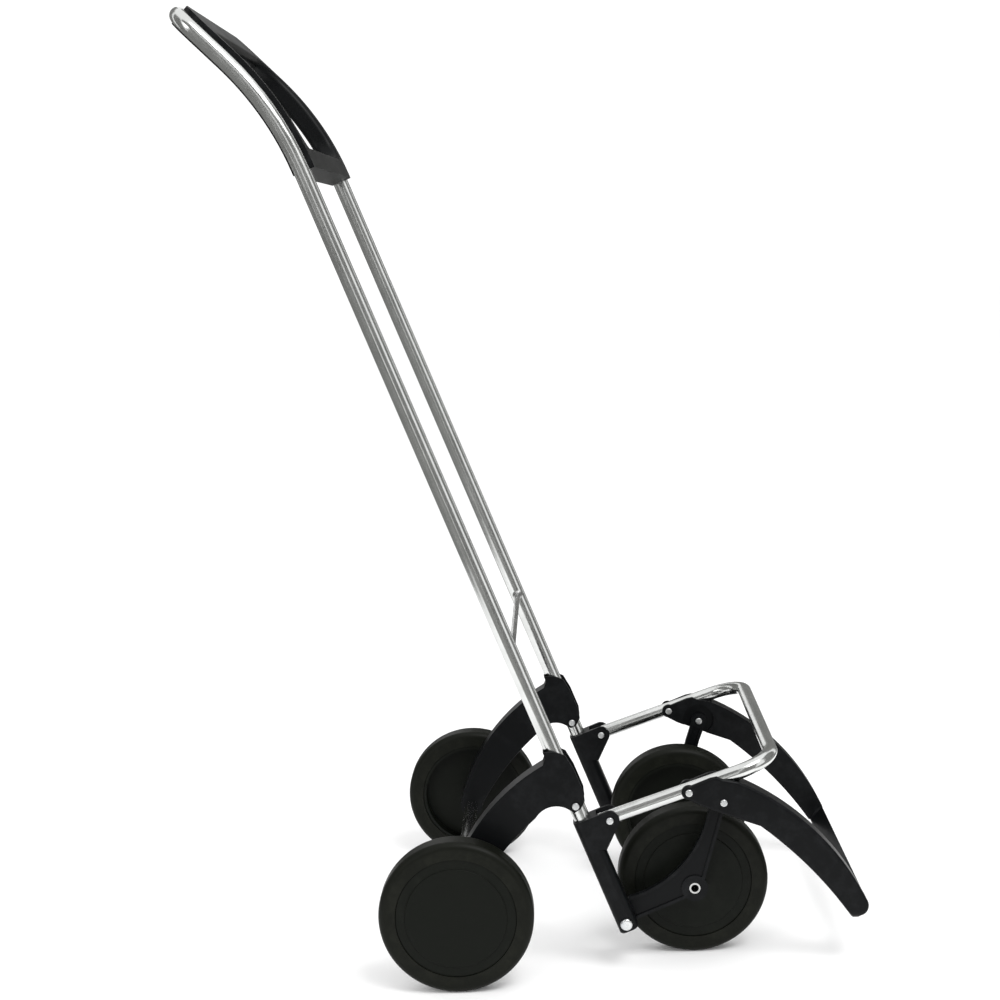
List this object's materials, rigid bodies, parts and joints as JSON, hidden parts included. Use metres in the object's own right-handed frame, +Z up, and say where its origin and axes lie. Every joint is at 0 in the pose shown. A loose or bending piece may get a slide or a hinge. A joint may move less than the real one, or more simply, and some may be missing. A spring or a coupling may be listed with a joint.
{
  "type": "folding shopping trolley frame",
  "caption": "Tall bent-tube shopping trolley frame without its bag: moulded handle liner, folding shelf and foot stand, folding rear arms and solid disc wheels.",
  "frame": {"origin": "on the floor, mid width, half-way between the tip of the front stand and the back of the handle", "axes": "+Z up, +Y back towards the user's handle, +X towards the user's left across the width"},
  "size_m": [0.4524, 0.7033, 1.0372],
  "materials": {
    "bright_tube": "polished",
    "axle_steel": "bright",
    "black_plastic": "satin",
    "wheel_plastic": "satin",
    "tyre": "matte",
    "zinc": "zinc plated",
    "bush_plastic": "plain"
  },
  "bodies": {
    "chassis": {"frame_tube": "bright_tube", "handle_grip": "black_plastic", "crossbar_rod": "axle_steel", "post_left": "black_plastic", "post_right": "black_plastic", "post_bolts": "zinc", "post_nuts": "zinc", "arm_rivets": "zinc", "shelf_rivets": "zinc"},
    "shelf": {"shelf_tube": "bright_tube", "shelf_plugs": "black_plastic"},
    "stand": {"stand_frame": "black_plastic", "stand_rivets": "zinc"},
    "wheel_carrier": {"wheel_arm_left": "black_plastic", "wheel_arm_right": "black_plastic", "front_axle": "axle_steel", "front_spacer": "black_plastic", "link_rivets": "zinc"},
    "rear_arms": {"rear_arm_left": "black_plastic", "rear_arm_right": "black_plastic", "rear_axle_tube": "bright_tube", "rear_axle_rod": "axle_steel", "rear_axle_caps": "zinc"},
    "front_wheel_left": {"front_wheel_tyre_left": "tyre", "front_wheel_core_left": "wheel_plastic", "front_wheel_cover_left": "wheel_plastic", "front_wheel_bush_left": "bush_plastic"},
    "front_wheel_right": {"front_wheel_tyre_right": "tyre", "front_wheel_core_right": "wheel_plastic", "front_wheel_cover_right": "wheel_plastic", "front_wheel_bush_right": "bush_plastic"},
    "rear_wheel_left": {"rear_wheel_tyre_left": "tyre", "rear_wheel_core_left": "wheel_plastic", "rear_wheel_cover_left": "wheel_plastic", "rear_wheel_bush_left": "bush_plastic"},
    "rear_wheel_right": {"rear_wheel_tyre_right": "tyre", "rear_wheel_core_right": "wheel_plastic", "rear_wheel_cover_right": "wheel_plastic", "rear_wheel_bush_right": "bush_plastic"}
  },
  "joints": [
    {"name": "shelf_fold", "type": "hinge", "parent": "chassis", "child": "shelf", "pos_m": [0, -0.0754, 0.1694], "axis": [-1, 0, 0], "range_deg": [0, 60]},
    {"name": "stand_fold", "type": "hinge", "parent": "wheel_carrier", "child": "stand", "pos_m": [0, -0.1972, 0.1863], "axis": [1, 0, 0], "range_deg": [0, 78.42]},
    {"name": "wheel_arm_fold", "type": "hinge", "parent": "chassis", "child": "wheel_carrier", "pos_m": [0, -0.0903, 0.0535], "axis": [-1, 0, 0], "range_deg": [0, 32.25]},
    {"name": "rear_arm_fold", "type": "hinge", "parent": "chassis", "child": "rear_arms", "pos_m": [0, -0.03935, 0.1865], "axis": [-1, 0, 0], "range_deg": [0, 64]},
    {"name": "front_wheel_spin_left", "type": "hinge", "parent": "wheel_carrier", "child": "front_wheel_left", "pos_m": [0.1142, -0.1665, 0.0825], "axis": [1, 0, 0], "continuous": true},
    {"name": "front_wheel_spin_right", "type": "hinge", "parent": "wheel_carrier", "child": "front_wheel_right", "pos_m": [-0.1142, -0.1665, 0.0825], "axis": [1, 0, 0], "continuous": true},
    {"name": "rear_wheel_spin_left", "type": "hinge", "parent": "rear_arms", "child": "rear_wheel_left", "pos_m": [0.2109, 0.0905, 0.0825], "axis": [1, 0, 0], "continuous": true},
    {"name": "rear_wheel_spin_right", "type": "hinge", "parent": "rear_arms", "child": "rear_wheel_right", "pos_m": [-0.2109, 0.0905, 0.0825], "axis": [1, 0, 0], "continuous": true}
  ],
  "couplings": [
    {"joint": "stand_fold", "follows": "shelf_fold", "ratio": 1.3053},
    {"joint": "wheel_arm_fold", "follows": "shelf_fold", "ratio": 0.53575}
  ]
}
